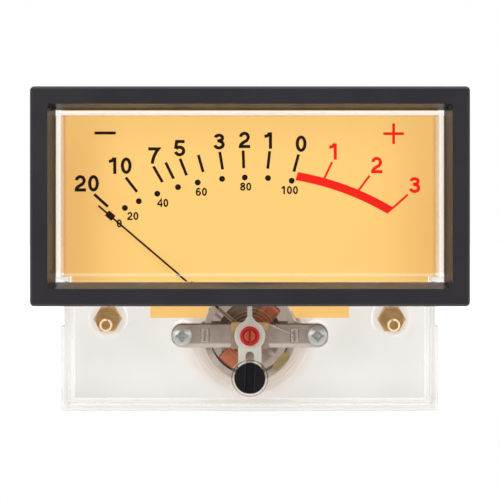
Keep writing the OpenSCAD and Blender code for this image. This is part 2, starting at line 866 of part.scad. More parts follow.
// A brass strip folded over the end of the pointer's tail
module balance_weight() {
    leaf = weight_t / 2;
    color("#b08a3e")
    along(rest_angle + 180) difference() {
        layer(cross_d - leaf, cross_d + cross_t + leaf)
            translate([weight_arm, 0]) rounded(weight_w, weight_l, weight_corner_r);
        layer(cross_d, cross_d + cross_t)
            translate([weight_arm - leaf - cut, 0])
                square([weight_w + 2 * cut, weight_l + cut], center = true);
    }
}

// ---- Zero adjuster ----

module lever_outline() difference() {
    union() {
        circle(lever_r);
        translate([0, -5.9]) rounded(5.3, 7.4, 0.6);
        band(tab_w, 2, tab_in_r + tab_t);
        polygon([[-1.5, 3], [1.5, 3], [0.55, 4.4], [-0.55, 4.4]]);
    }
    circle(lever_bore_r);
    band(2 * (pin_r + fork_slack), -2 * adjuster_drop, -4.5);
    translate([0, -4.5]) circle(pin_r + fork_slack);
}

module zero_lever() {
    color("#e2e0dc")
    at_pivot() {
        layer(lever_d, lever_d + lever_t) lever_outline();
        layer(lever_d, spring_d + spring_w) band(tab_w, tab_in_r, tab_in_r + tab_t);
        translate([0, lever_d - mid_d, tab_in_r]) sphere(0.5);
    }
}

// The slot's section, seen from above
module adjuster_slot() {
    half = slot_w / 2;
    front = head_front_d - mid_d;
    polygon([[-half - slot_edge, front - cut], [half + slot_edge, front - cut],
        [half + slot_edge, front], [half, front + slot_edge], [half, front + slot_t],
        [-half, front + slot_t], [-half, front + slot_edge], [-half - slot_edge, front]]);
}

module zero_adjuster() {
    color("#1c1c1e")
    at_adjuster() {
        difference() {
            layer(head_front_d, seat_d - gap) circle(head_r);
            rotate([0, 3, 0]) linear_extrude(3 * head_r, center = true) adjuster_slot();
        }
        layer(seat_d - gap, clip_d) circle(stem_r);
        layer(clip_d, clip_d + clip_t) circle(stem_r - 0.2);
        layer(clip_d + clip_t, stem_end_d) circle(stem_r);
        layer(stem_end_d, lever_d + lever_t + pin_reach) translate([0, pin_offset]) circle(pin_r);
    }
}

module adjuster_clip() {
    color("#b9bcbe")
    at_adjuster() layer(clip_d, clip_d + clip_t) ring_2d(inner_boss_r - 0.1, stem_r - 0.2);
}

// ---- Terminals and leads ----

module terminal_studs() {
    color("#ad8a52")
    left_and_right(stud_spacing / 2, stud_z) {
        intersection() {
            layer(head_d, head_d + head_l) hexagon(stud_flats);
            union() {
                taper(head_d, head_d + head_chamfer,
                    stud_flats / 2 - 0.1, stud_flats / 2 - 0.1 + head_chamfer / tan(30));
                layer(head_d + head_chamfer, head_d + head_l + cut) circle(stud_flats);
            }
        }
        layer(head_d + head_l, thread_d) circle(neck_r);
        layer(thread_d, stud_end_d - 0.3) circle(stud_r);
        taper(stud_end_d - 0.3, stud_end_d, stud_r, stud_r - 0.3);
    }
}

module stud_washers() {
    color("#c9ccce")
    left_and_right(stud_spacing / 2, stud_z)
        layer(washer_d, lug_d) ring_2d(washer_r, stud_r + 0.1);
}

module solder_lugs() {
    color("#d5d2cb")
    left_and_right(stud_spacing / 2, stud_z) layer(lug_d, nut_d) difference() {
        union() {
            circle(washer_r - 0.3);
            band(tongue_w, -tongue_l, 0);
        }
        circle(stud_r + 0.1);
        translate([0, 1.6 - tongue_l]) circle(0.7);
    }
}

module stud_nuts() {
    color("#ad8a52")
    left_and_right(stud_spacing / 2, stud_z) layer(nut_d, nut_d + nut_l) difference() {
        hexagon(stud_flats);
        circle(neck_r);
    }
}

// The stretch of a lead from the round housing to the top of a stud's head, on one side
function lead_end(side) = [
    [side * 9.9, 19.4, pivot_z + 5.7], [side * 12.1, 19.4, pivot_z + 7],
    [side * 16, 20.2, 24], [side * 24, 21, 24], [side * 30, 21.6, 24],
    [side * 32, 21.8, 23.6], [side * 32.5, 21.8, stud_z + stud_flats / 2 + 0.1]];

module right_lead() {
    color("#e6d8c6")
    wire(concat([[lug_x + lug_w + lead_r + 0.05, 19.4, pivot_z + 1],
        [11.35, 19.4, pivot_z + 2.6]], lead_end(1)), lead_r);
}

module left_lead() {
    color("#e9e6e0")
    wire(concat([[-3.4, anchor_d + 0.75, pivot_z], [-7, anchor_d + 0.75, pivot_z + 3.2],
        [-9.7, anchor_d - 1, pivot_z + 5.6], [-9.9, 26, pivot_z + 5.7]], lead_end(-1)), lead_r);
}

// ---- Nodes ----

bezel_frame();
front_cover();
rear_case();
dial_film();
dial_backing();
lamp_board();
lamp_domes();
lamp_resistors();
lamp_pins();
front_bridge();
bridge_screws();
iron_ring();
core_magnet();
core_supports();
rear_bridge();
insulating_plate();
contact_tag();
insulating_bush();
spring_washer();
front_lock_nut();
front_jewel_screw();
jewels();
front_jumper();
rear_insulator();
rear_anchor();
rear_lock_nut();
rear_jewel_screw();
rear_hairspring();
coil_former();
coil_winding();
pivot_bases();
pivots();
spring_collets();
pointer_cross();
pointer_needle();
balance_weight();
zero_lever();
front_hairspring();
zero_adjuster();
adjuster_clip();
terminal_studs();
stud_washers();
solder_lugs();
stud_nuts();
left_lead();
right_lead();
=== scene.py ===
import math

import bmesh
import bpy
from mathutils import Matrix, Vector


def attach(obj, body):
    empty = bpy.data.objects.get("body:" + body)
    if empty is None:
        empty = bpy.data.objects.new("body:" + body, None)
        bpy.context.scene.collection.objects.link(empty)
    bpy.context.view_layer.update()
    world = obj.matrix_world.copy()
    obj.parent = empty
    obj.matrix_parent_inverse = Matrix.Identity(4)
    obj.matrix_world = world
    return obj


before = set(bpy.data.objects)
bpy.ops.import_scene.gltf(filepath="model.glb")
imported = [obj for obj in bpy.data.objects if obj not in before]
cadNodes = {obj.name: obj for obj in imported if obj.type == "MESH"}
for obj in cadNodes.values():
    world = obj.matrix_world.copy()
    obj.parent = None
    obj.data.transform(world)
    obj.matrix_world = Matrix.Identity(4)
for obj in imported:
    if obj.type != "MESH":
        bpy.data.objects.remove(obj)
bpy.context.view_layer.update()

mm = 0.001
midDepth = 20.5  # a depth counts from the bezel's front face, 20.5 mm in front of the middle
axisZ = 16.75  # height of the pointer's axis
noiseSpread = (0.3, 0.7)  # where most of a noise texture's values lie


def place(x, depth, z):
    return Vector((x * mm, (depth - midDepth) * mm, z * mm))


# camera, floor and light

cameraSet = {"x": -1.98, "depth": -520.0, "z": 49.42, "lens": 170.0, "shiftX": 0.018, "shiftY": -0.118,
             "reach": (0.02, 20)}
floorSet = {"width": 2.0, "front": -0.030, "back": 1.6, "z": -0.00002, "colour": (0.88, 0.88, 0.88, 1.0),
            "roughness": 0.9, "lift": 0.6}
# levels of the room's light, and where each one fades in along the view's Y or Z
worldSet = {"ahead": 0.04, "sides": 0.55, "back": 0.5, "top": 0.75,
            "aheadFade": (-0.993, -0.95), "backFade": (-0.2, 0.6), "topFade": (0.4, 0.8),
            "seenFade": (-0.3, 0.1)}
lampTarget = (0, 15, 35)
lampSet = {
    "key": {"at": (-0.55, -0.78, 0.34), "size": 0.55, "power": 2.9},
    "fill": {"at": (0.65, -0.72, 0.27), "size": 0.60, "power": 1.6},
    "top": {"at": (0.05, -0.10, 0.85), "size": 0.70, "power": 2.0},
}


def addCamera():
    cam = bpy.data.objects.new("camera", bpy.data.cameras.new("camera"))
    cam.location = place(cameraSet["x"], cameraSet["depth"], cameraSet["z"])
    cam.rotation_euler = (math.radians(90), 0, 0)
    cam.data.lens = cameraSet["lens"]
    cam.data.shift_x = cameraSet["shiftX"]
    cam.data.shift_y = cameraSet["shiftY"]
    cam.data.clip_start, cam.data.clip_end = cameraSet["reach"]
    bpy.context.scene.collection.objects.link(cam)
    bpy.context.scene.camera = cam


def addWorld():
    # a pale room: white behind the meter, darker behind the camera, so that metal has something to show
    world = bpy.data.worlds.new("studio")
    bpy.context.scene.world = world
    world.use_nodes = True
    tree = world.node_tree
    tree.nodes.clear()
    coord = tree.nodes.new("ShaderNodeTexCoord")
    way = axes(tree, coord.outputs["Generated"])
    ahead = mapRange(tree, way["Y"], *worldSet["aheadFade"], worldSet["ahead"], worldSet["sides"],
                     "SMOOTHSTEP")
    level = mixValue(tree, mapRange(tree, way["Y"], *worldSet["backFade"]), ahead, worldSet["back"])
    top = mapRange(tree, way["Z"], *worldSet["topFade"], 0.0, worldSet["top"])
    level = mathNode(tree, "MAXIMUM", level, top)
    rays = tree.nodes.new("ShaderNodeLightPath")
    behind = mapRange(tree, way["Y"], *worldSet["seenFade"])
    through = mathNode(tree, "MULTIPLY", rays.outputs["Is Transmission Ray"], behind)
    seen = mathNode(tree, "MAXIMUM", rays.outputs["Is Camera Ray"], through)
    strength = mixValue(tree, seen, level, 1.0)
    background = tree.nodes.new("ShaderNodeBackground")
    background.inputs["Color"].default_value = (1, 1, 1, 1)
    tree.links.new(strength, background.inputs["Strength"])
    out = tree.nodes.new("ShaderNodeOutputWorld")
    tree.links.new(background.outputs[0], out.inputs["Surface"])


def addFloor():
    bm = bmesh.new()
    half, front, back = floorSet["width"] / 2, floorSet["front"], floorSet["back"]
    corners = ((-half, front), (half, front), (half, back), (-half, back))
    bm.faces.new([bm.verts.new((x, y, floorSet["z"])) for x, y in corners])
    floor = meshObject("floor", bm)
    mat, tree, shader = newMaterial("paleFloor")
    shader.inputs["Base Color"].default_value = floorSet["colour"]
    shader.inputs["Roughness"].default_value = floorSet["roughness"]
    shader.inputs["Specular IOR Level"].default_value = 0.0
    rays = tree.nodes.new("ShaderNodeLightPath")
    seen = mathNode(tree, "MAXIMUM", rays.outputs["Is Camera Ray"], rays.outputs["Is Transmission Ray"])
    seen = mathNode(tree, "MAXIMUM", seen, rays.outputs["Is Glossy Ray"])
    lift = mathNode(tree, "MULTIPLY", seen, floorSet["lift"])
    shader.inputs["Emission Color"].default_value = (1, 1, 1, 1)
    tree.links.new(lift, shader.inputs["Emission Strength"])
    floor.data.materials.append(mat)


def addLamps():
    target = place(*lampTarget)
    for name, lamp in lampSet.items():
        data = bpy.data.lights.new(name, "AREA")
        data.shape = "SQUARE"
        data.size = lamp["size"]
        data.energy = lamp["power"]
        light = bpy.data.objects.new(name, data)
        light.location = lamp["at"]
        light.rotation_euler = (target - Vector(lamp["at"])).to_track_quat("-Z", "Y").to_euler()
        bpy.context.scene.collection.objects.link(light)


# node helpers

def setInput(tree, socket, value):
    if isinstance(value, bpy.types.NodeSocket):
        tree.links.new(value, socket)
    elif value is not None:
        socket.default_value = value


def mathNode(tree, operation, a, b=None):
    node = tree.nodes.new("ShaderNodeMath")
    node.operation = operation
    setInput(tree, node.inputs[0], a)
    setInput(tree, node.inputs[1], b)
    return node.outputs[0]


def mapRange(tree, value, low, high, toLow=0.0, toHigh=1.0, kind="LINEAR"):
    node = tree.nodes.new("ShaderNodeMapRange")
    node.interpolation_type = kind
    given = {"Value": value, "From Min": low, "From Max": high, "To Min": toLow, "To Max": toHigh}
    for name, v in given.items():
        setInput(tree, node.inputs[name], v)
    return node.outputs[0]


def mmRange(tree, value, start, end, toLow=0.0, toHigh=1.0, kind="LINEAR"):
    return mapRange(tree, value, start * mm, end * mm, toLow, toHigh, kind)


def mixValue(tree, factor, a, b):
    node = tree.nodes.new("ShaderNodeMix")
    node.data_type = "FLOAT"
    setInput(tree, node.inputs[0], factor)
    setInput(tree, node.inputs[2], a)
    setInput(tree, node.inputs[3], b)
    return node.outputs[0]


def mixColour(tree, factor, a, b):
    # a and b are sockets or colours of three values
    node = tree.nodes.new("ShaderNodeMix")
    node.data_type = "RGBA"
    setInput(tree, node.inputs[0], factor)
    for socket, value in ((node.inputs[6], a), (node.inputs[7], b)):
        setInput(tree, socket, value if isinstance(value, bpy.types.NodeSocket) else (*value, 1))
    return node.outputs[2]


def noise(tree, vector, size, detail=2.0, roughness=0.5):
    # size is in millimetres, or a socket that gives the scale
    node = tree.nodes.new("ShaderNodeTexNoise")
    setInput(tree, node.inputs["Vector"], vector)
    setInput(tree, node.inputs["Scale"], size if isinstance(size, bpy.types.NodeSocket) else 1 / (size * mm))
    node.inputs["Detail"].default_value = detail
    node.inputs["Roughness"].default_value = roughness
    return node.outputs["Fac"]


def objectCoord(tree, turn=(0, 0, 0), scale=(1, 1, 1), shift=(0, 0, 0)):
    coord = tree.nodes.new("ShaderNodeTexCoord")
    mapping = tree.nodes.new("ShaderNodeMapping")
    mapping.inputs["Rotation"].default_value = [math.radians(a) for a in turn]
    mapping.inputs["Scale"].default_value = scale
    mapping.inputs["Location"].default_value = shift
    tree.links.new(coord.outputs["Object"], mapping.inputs["Vector"])
    return mapping.outputs["Vector"]


def axes(tree, vector):
    # the X, Y and Z of a vector
    split = tree.nodes.new("ShaderNodeSeparateXYZ")
    tree.links.new(vector, split.inputs[0])
    return split.outputs


def fromAxis(tree):
    # distance from the pointer's axis
    node = tree.nodes.new("ShaderNodeVectorMath")
    node.operation = "LENGTH"
    tree.links.new(objectCoord(tree, scale=(1, 0, 1), shift=(0, 0, -axisZ * mm)), node.inputs[0])
    return node.outputs["Value"]


def principled(mat):
    return next(n for n in mat.node_tree.nodes if n.type == "BSDF_PRINCIPLED")


def newMaterial(name):
    mat = bpy.data.materials.new(name)
    mat.use_nodes = True
    return mat, mat.node_tree, principled(mat)


def newGroup(name, inputs, outputs):
    tree = bpy.data.node_groups.new(name, "ShaderNodeTree")
    for label, kind, value in inputs:
        socket = tree.interface.new_socket(name=label, in_out="INPUT", socket_type="NodeSocket" + kind)
        socket.default_value = value
    for label, kind in outputs:
        tree.interface.new_socket(name=label, in_out="OUTPUT", socket_type="NodeSocket" + kind)
    return tree, tree.nodes.new("NodeGroupInput"), tree.nodes.new("NodeGroupOutput")


def useGroup(tree, group, values):
    node = tree.nodes.new("ShaderNodeGroup")
    node.node_tree = group
    for label, value in values.items():
        setInput(tree, node.inputs[label], value)
    return node.outputs


def addBump(tree, shader, height, distance, strength, edge=None):
    bump = tree.nodes.new("ShaderNodeBump")
    bump.inputs["Strength"].default_value = strength
    bump.inputs["Distance"].default_value = distance * mm
    setInput(tree, bump.inputs["Height"], height)
    if edge:  # a soft edge that the exact solid doesn't have
        bevel = tree.nodes.new("ShaderNodeBevel")
        bevel.samples = 4
        bevel.inputs["Radius"].default_value = edge * mm
        tree.links.new(bevel.outputs[0], bump.inputs["Normal"])
    tree.links.new(bump.outputs[0], shader.inputs["Normal"])


# shared effects

def makeMouldGrain():
    # fine spark-eroded grain with slow changes of tone
    tree, given, out = newGroup(
        "mouldGrain",
        [("Vector", "Vector", (0, 0, 0)), ("Grain Scale", "Float", 4000.0), ("Cloud Scale", "Float", 120.0)],
        [("Height", "Float"), ("Tone", "Float")])
    fine = noise(tree, given.outputs["Vector"], given.outputs["Grain Scale"], detail=3.0, roughness=0.6)
    slow = noise(tree, given.outputs["Vector"], given.outputs["Cloud Scale"])
    tree.links.new(fine, out.inputs["Height"])
    fineShare = mathNode(tree, "MULTIPLY", fine, 0.35)
    slowShare = mathNode(tree, "MULTIPLY", slow, 0.65)
    tree.links.new(mathNode(tree, "ADD", fineShare, slowShare), out.inputs["Tone"])
    return tree


def makeToolMarks():
    # fine lines along one way of the given vector, as rolling, turning or brushing leaves them
    tree, given, out = newGroup(
        "toolMarks",
        [("Vector", "Vector", (0, 0, 0)), ("Line Scale", "Float", 9000.0), ("Stain Scale", "Float", 300.0)],
        [("Height", "Float"), ("Tone", "Float"), ("Stain", "Float")])
    stretch = tree.nodes.new("ShaderNodeMapping")
    stretch.inputs["Scale"].default_value = (0.03, 1.0, 1.0)
    tree.links.new(given.outputs["Vector"], stretch.inputs["Vector"])
    lines = noise(tree, stretch.outputs["Vector"], given.outputs["Line Scale"], detail=3.0, roughness=0.6)
    stain = noise(tree, given.outputs["Vector"], given.outputs["Stain Scale"], detail=3.0, roughness=0.55)
    tree.links.new(lines, out.inputs["Height"])
    tree.links.new(mapRange(tree, lines, *noiseSpread), out.inputs["Tone"])
    tree.links.new(mapRange(tree, stain, 0.42, 0.72), out.inputs["Stain"])
    return tree


mouldGrain = makeMouldGrain()
toolMarks = makeToolMarks()

# what a look has when it doesn't say otherwise
plasticUsual = {"cloud": 8, "ior": 1.5, "specular": 0.5, "depth": 2.0, "scatter": (1.0, 0.95, 0.9),
                "bump": 0.01, "bumpStrength": 0.5, "edge": None, "shades": ()}
metalUsual = {"turn": (0, 0, 0), "line": 0.12, "stainSize": 2.5, "stainAmount": 0.5, "metallic": 1.0,
              "bump": 0.006, "bumpStrength": 0.5, "edge": 0.06, "shades": ()}


def shade(mat, where, start, end, colour, amount=1.0):
    # a second tone, used for painted shade and painted highlight and for the needle's second paint, that
    # comes in from start to end, along an axis or away from the pointer's axis
    tree = mat.node_tree
    value = fromAxis(tree) if where == "axis" else axes(tree, objectCoord(tree))[where]
    base = principled(mat).inputs["Base Color"]
    factor = mmRange(tree, value, start, end, 0.0, amount, "SMOOTHSTEP")
    setInput(tree, base, mixColour(tree, factor, base.links[0].from_socket, colour))


def plastic(name, given):
    look = {**plasticUsual, **given}
    mat, tree, shader = newMaterial(name)
    grain = useGroup(tree, mouldGrain, {"Vector": objectCoord(tree), "Grain Scale": 1 / (look["grain"] * mm),
                                        "Cloud Scale": 1 / (look["cloud"] * mm)})
    colour = mixColour(tree, grain["Tone"], look["dark"], look["light"])
    setInput(tree, shader.inputs["Base Color"], colour)
    roughness = mapRange(tree, grain["Tone"], *noiseSpread, *look["roughness"])
    setInput(tree, shader.inputs["Roughness"], roughness)
    shader.inputs["IOR"].default_value = look["ior"]
    shader.inputs["Specular IOR Level"].default_value = look["specular"]
    if "subsurface" in look:
        shader.inputs["Subsurface Weight"].default_value = look["subsurface"]
        shader.inputs["Subsurface Radius"].default_value = look["scatter"]
        shader.inputs["Subsurface Scale"].default_value = look["depth"] * mm
    if "glow" in look:
        shader.inputs["Emission Color"].default_value = (*look["glow"], 1)
        shader.inputs["Emission Strength"].default_value = look["glowStrength"]
    addBump(tree, shader, grain["Height"], look["bump"], look["bumpStrength"], look["edge"])
    for tone in look["shades"]:
        shade(mat, *tone)
    return mat


def metal(name, given):
    look = {**metalUsual, **given}
    mat, tree, shader = newMaterial(name)
    coord = objectCoord(tree, turn=look["turn"])
    marks = useGroup(tree, toolMarks, {"Vector": coord, "Line Scale": 1 / (look["line"] * mm),
                                       "Stain Scale": 1 / (look["stainSize"] * mm)})
    colour = mixColour(tree, marks["Tone"], look["dark"], look["light"])
    if "stain" in look:
        amount = mathNode(tree, "MULTIPLY", marks["Stain"], look["stainAmount"])
        colour = mixColour(tree, amount, colour, look["stain"])
    setInput(tree, shader.inputs["Base Color"], colour)
    shader.inputs["Metallic"].default_value = look["metallic"]
    roughness = mapRange(tree, marks["Height"], *noiseSpread, *look["roughness"])
    setInput(tree, shader.inputs["Roughness"], roughness)
    addBump(tree, shader, marks["Height"], look["bump"], look["bumpStrength"], look["edge"])
    for tone in look["shades"]:
        shade(mat, *tone)
    return mat


def dress(mat, *names):
    for name in names:
        mesh = cadNodes[name].data
        mesh.materials.clear()
        mesh.materials.append(mat)


def meshObject(name, bm):
    mesh = bpy.data.meshes.new(name)
    bm.to_mesh(mesh)
    bm.free()
    obj = bpy.data.objects.new(name, mesh)
    bpy.context.scene.collection.objects.link(obj)
    return obj


addCamera()
addWorld()
addFloor()
addLamps()
print("stage: camera, floor and lamps")


# bezel, cover and case

bezelLook = {"dark": (0.021, 0.019, 0.023), "light": (0.033, 0.030, 0.036), "roughness": (0.30, 0.40),
             "specular": 0.4, "grain": 0.16, "cloud": 14, "bump": 0.012, "bumpStrength": 0.55, "edge": 0.12}
dress(plastic("bezelBlack", bezelLook), "bezel_frame")

# painted glow and painted shade: glow stands in for light through the milky plastic, the foot values darken
# its lowest part
caseLook = {"dark": (0.50, 0.49, 0.48), "light": (0.57, 0.56, 0.55), "roughness": (0.32, 0.45), "grain": 0.3,
            "cloud": 9, "bump": 0.003, "bumpStrength": 0.3, "subsurface": 0.8, "depth": 3.0,
            "glow": (0.97, 0.955, 0.94), "glowStrength": 0.5,
            "foot": (8.0, 0.5), "footShade": (0.47, 0.46, 0.45), "footShadeGlow": (0.90, 0.885, 0.87)}
# painted shade and warm painted glow where the movement's shadow and warm reflections fall on its round
# housing: reach from the axis, colour, glow
paintedHousingLight = ((12.6, 16.5, (0.50, 0.46, 0.43), (0.76, 0.70, 0.65)),
                 (11.0, 13.4, (0.52, 0.47, 0.43), (0.84, 0.77, 0.70)),
                 (9.2, 10.4, (0.42, 0.37, 0.34), (0.50, 0.42, 0.37)))


def milkyCase():
    # painted glow: the case's emission stands in for light coming through its milky plastic; painted shade
    # makes it darker and dimmer at its foot and over the movement
    mat = plastic("milkyCase", caseLook)
    tree = mat.node_tree
    shader = principled(mat)
    away = fromAxis(tree)
    foot = mmRange(tree, axes(tree, objectCoord(tree))["Z"], *caseLook["foot"], kind="SMOOTHSTEP")
    base = mixColour(tree, foot, shader.inputs["Base Color"].links[0].from_socket, caseLook["footShade"])
    glow = mixColour(tree, foot, caseLook["glow"], caseLook["footShadeGlow"])
    for near, far, colour, shine in paintedHousingLight:
        amount = mmRange(tree, away, near, far, 1.0, 0.0, "SMOOTHSTEP")
        base = mixColour(tree, amount, base, colour)
        glow = mixColour(tree, amount, glow, shine)
    setInput(tree, shader.inputs["Base Color"], base)
    setInput(tree, shader.inputs["Emission Color"], glow)
    return mat


dress(milkyCase(), "rear_case")

coverLook = {"tint": (0.990, 0.988, 0.982), "hazeTint": (0.98, 0.973, 0.96), "smudge": 12.0,
             "smudgeSpread": (0.45, 0.75), "roughness": (0.0, 0.02), "milkyFade": (23, 27), "ior": 1.49,
             "rings": (32.3, 19.4), "ringReach": (1.8, 2.2), "ringBrassReflection": (1.0, 0.87, 0.66),
             "lip": (30.45, 31.0), "lipSoft": (0.1, 0.15), "lipHighlight": (0.03, 0.075, 0.085)}


def clearCover():
    mat, tree, shader = newMaterial("clearCover")
    coord = objectCoord(tree)
    way = axes(tree, coord)
    cloud = noise(tree, coord, coverLook["smudge"], detail=3.0, roughness=0.6)
    smudge = mapRange(tree, cloud, *coverLook["smudgeSpread"])
    # painted reflection: the two small moulded rings are tinted with the colour of the brass behind them
    ringX, ringZ = coverLook["rings"]
    aside = mathNode(tree, "SUBTRACT", mathNode(tree, "ABSOLUTE", way["X"]), ringX * mm)
    above = mathNode(tree, "SUBTRACT", way["Z"], ringZ * mm)
    far = mathNode(tree, "SQRT", mathNode(tree, "ADD", mathNode(tree, "MULTIPLY", aside, aside),
                                          mathNode(tree, "MULTIPLY", above, above)))
    ring = mmRange(tree, far, *coverLook["ringReach"], 1.0, 0.0)
    plain = mixColour(tree, smudge, coverLook["tint"], coverLook["hazeTint"])
    setInput(tree, shader.inputs["Base Color"], mixColour(tree, ring, plain, coverLook["ringBrassReflection"]))
    # painted highlight: the lower lip of the lens glows faintly, standing in for the light it catches
    low, high = coverLook["lip"]
    softBelow, softAbove = coverLook["lipSoft"]
    lip = mathNode(tree, "MULTIPLY", mmRange(tree, way["Z"], low - softBelow, low),
                   mmRange(tree, way["Z"], high, high + softAbove, 1.0, 0.0))
    setInput(tree, shader.inputs["Emission Color"], mixColour(tree, lip, (0, 0, 0), coverLook["lipHighlight"]))
    shader.inputs["Emission Strength"].default_value = 1.0
    # the lens is clear, the lower front slightly milky
    milky = mmRange(tree, way["Z"], *coverLook["milkyFade"], 1.0, 0.0)
    setInput(tree, shader.inputs["Roughness"], mapRange(tree, milky, 0.0, 1.0, *coverLook["roughness"]))
    shader.inputs["IOR"].default_value = coverLook["ior"]
    shader.inputs["Transmission Weight"].default_value = 1.0
    # the lamps' light goes straight through to the parts behind it
    rays = tree.nodes.new("ShaderNodeLightPath")
    straight = mathNode(tree, "MAXIMUM", rays.outputs["Is Shadow Ray"], rays.outputs["Is Diffuse Ray"])
    clear = tree.nodes.new("ShaderNodeBsdfTransparent")
    clear.inputs["Color"].default_value = (*coverLook["tint"], 1)
    both = tree.nodes.new("ShaderNodeMixShader")
    tree.links.new(straight, both.inputs[0])
    tree.links.new(shader.outputs[0], both.inputs[1])
    tree.links.new(clear.outputs[0], both.inputs[2])
    out = next(n for n in tree.nodes if n.type == "OUTPUT_MATERIAL")
    tree.links.new(both.outputs[0], out.inputs["Surface"])
    return mat


dress(clearCover(), "front_cover")
print("bezel, cover and case: finished")


# dial

dialLook = {"centre": (0.912, 0.565, 0.180), "edge": (0.64, 0.318, 0.096), "plateau": 26.0, "falloff": 50.0,
            "off": 0.3, "top": (54.0, 66.0), "topFall": 0.6, "strength": 0.78,
            "rim": (41.5, 42.4), "rimShade": (0.40, 0.19, 0.065),
            "paper": (0.60, 0.36, 0.11), "paperDark": 0.9, "roughness": 0.7, "specular": 0.15,
            "mottle": 0.5, "mottleAmount": 0.02, "bump": 0.004, "bumpStrength": 0.4}


def dialFilm():
    mat, tree, shader = newMaterial("amberFilm")
    coord = objectCoord(tree)
    way = axes(tree, coord)
    # painted backlight: the film's emission is bright in the middle, darker to the sides, and less so near
    # the top
    away = mathNode(tree, "ABSOLUTE", mathNode(tree, "SUBTRACT", way["X"], dialLook["off"] * mm))
    fall = mmRange(tree, away, dialLook["plateau"], dialLook["falloff"], kind="SMOOTHSTEP")
    top = mmRange(tree, way["Z"], *dialLook["top"], 1.0, dialLook["topFall"], "SMOOTHSTEP")
    fall = mathNode(tree, "MULTIPLY", fall, top)
    mottle = noise(tree, coord, dialLook["mottle"], roughness=0.6)
    uneven = mapRange(tree, mottle, *noiseSpread, -dialLook["mottleAmount"], dialLook["mottleAmount"])
    fall = mathNode(tree, "ADD", fall, uneven)
    glow = mixColour(tree, fall, dialLook["centre"], dialLook["edge"])
    # painted shade along the film's left and right edges
    rim = mmRange(tree, mathNode(tree, "ABSOLUTE", way["X"]), *dialLook["rim"])
    glow = mixColour(tree, rim, glow, dialLook["rimShade"])
    setInput(tree, shader.inputs["Emission Color"], glow)
    shader.inputs["Emission Strength"].default_value = dialLook["strength"]
    paper = tuple(c * dialLook["paperDark"] for c in dialLook["paper"])
    setInput(tree, shader.inputs["Base Color"], mixColour(tree, mottle, paper, dialLook["paper"]))
    shader.inputs["Roughness"].default_value = dialLook["roughness"]
    shader.inputs["Specular IOR Level"].default_value = dialLook["specular"]
    addBump(tree, shader, mottle, dialLook["bump"], dialLook["bumpStrength"])
    return mat


# painted backlight: the opal backing glows warm by emission
backingLook = {"dark": (0.86, 0.80, 0.66), "light": (0.94, 0.89, 0.76), "roughness": (0.4, 0.5), "grain": 0.4,
               "subsurface": 0.3, "glow": (1.0, 0.72, 0.36), "glowStrength": 0.25}

dress(dialFilm(), "dial_film")
dress(plastic("opalBacking", backingLook), "dial_backing")

# Every arc of the printed scale has its centre below the pointer's axis; the ticks point at the axis.
# Angles are degrees at the axis, counted from the right; radii are of the scale's arcs.
scaleSet = {"arcZ": -9.0, "front": 16.994, "back": 17.004,
            "tickIn": 63.6, "tickOut": 67.65, "tick": 0.66, "redTick": 0.50,
            "dotArc": 61.5, "dotR": 0.675, "dotSides": 40,
            "bandIn": 61.75, "bandOut": 63.68, "bandFrom": 73.5, "bandTo": 41.3, "bandSteps": 32}
blackTicks = (137.9, 128.25, 119.75, 116.0, 111.6, 105.95, 99.3, 92.05, 83.8, 74.85)
redTicks = (64.5, 53.0)
endTick = {"angle": 41.55, "inner": 63.4, "outer": 67.9}
percentDots = (134.55, 129.7, 123.25, 115.9, 108.85, 100.05, 91.8, 83.35, 74.75)
restMark = {"angle": 139.5, "radius": 61.6, "long": 1.95, "thick": 1.5}
minusSign = {"x": -32.86, "z": 62.60, "long": 4.85, "thick": 0.68}
plusSign = {"x": 32.70, "z": 62.45, "long": 4.7, "thick": 0.62}
# (text, angle, radius)
bigNumbers = (("20", 137.1, 70.65), ("10", 127.45, 70.6), ("7", 118.1, 69.95), ("5", 110.6, 70.0),
              ("3", 99.05, 69.95), ("2", 91.55, 70.05), ("1", 84.6, 70.0), ("0", 74.95, 70.15))
redNumbers = (("1", 65.6, 70.0), ("2", 53.2, 70.5), ("3", 42.2, 70.5))
smallNumbers = (("0", 139.5, 59.05), ("20", 134.55, 59.05), ("40", 123.4, 59.12), ("60", 108.7, 59.27),
                ("80", 91.55, 59.42), ("100", 74.55, 59.32))
# height in millimetres; stroke, step and wide are shares of it
bigSet = {"height": 3.74, "stroke": 0.195, "step": 0.80, "wide": 1.0}
smallSet = {"height": 1.86, "stroke": 0.20, "step": 0.80, "wide": 0.92}
digitWidth = {"0": 0.66, "1": 0.44, "4": 0.72}
digitShift = {"0": 0.02, "1": 0.09}
usualWidth = 0.70
mitreLimit = 0.45


def onArc(angle, radius):
    # where the line from the axis at this angle meets an arc of the scale
    a = math.radians(angle)
    rise = axisZ - scaleSet["arcZ"]
    along = -rise * math.sin(a) + math.sqrt(radius ** 2 - (rise * math.cos(a)) ** 2)
    return along * math.cos(a), axisZ + along * math.sin(a)


def arc(cx, cy, rx, ry, start, end, steps=14):
    return [(cx + rx * math.cos(math.radians(start + (end - start) * i / steps)),
             cy + ry * math.sin(math.radians(start + (end - start) * i / steps))) for i in range(steps + 1)]


def bend(a, b, c, d, steps=10):
    line = []
    for i in range(steps + 1):
        t = i / steps
        w = ((1 - t) ** 3, 3 * t * (1 - t) ** 2, 3 * t * t * (1 - t), t ** 3)
        line.append(tuple(sum(k * p[j] for k, p in zip(w, (a, b, c, d))) for j in range(2)))
    return line


